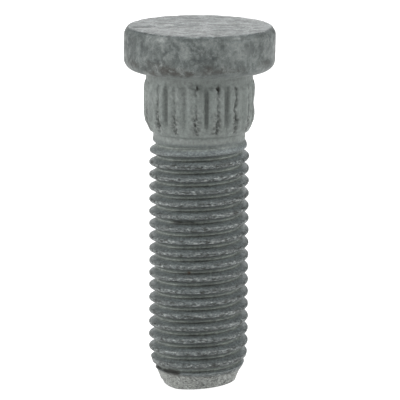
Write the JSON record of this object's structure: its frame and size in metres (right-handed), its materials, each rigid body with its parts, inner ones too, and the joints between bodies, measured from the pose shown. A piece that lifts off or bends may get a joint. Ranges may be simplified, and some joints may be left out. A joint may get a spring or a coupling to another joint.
{
  "type": "wheel stud",
  "caption": "Round-headed wheel stud with a grooved press-in shoulder, a plain neck, a rolled right-hand metric thread and a tapered sheared point.",
  "frame": {"origin": "centre of the bounding box at its foot: the stud's axis, at the level of the flat of the sheared end", "axes": "+Z along the stud's axis, from the threaded point up to the head; -Y faces the picture's camera"},
  "size_m": [0.0182, 0.0182, 0.0435],
  "materials": {
    "coated_steel": "forged and rolled steel with a dull grey zinc coating, mottled brown-grey on the head's side and scuffed on the crests"
  },
  "bodies": {
    "root": {"wheel_stud": "coated_steel"}
  },
  "joints": []
}
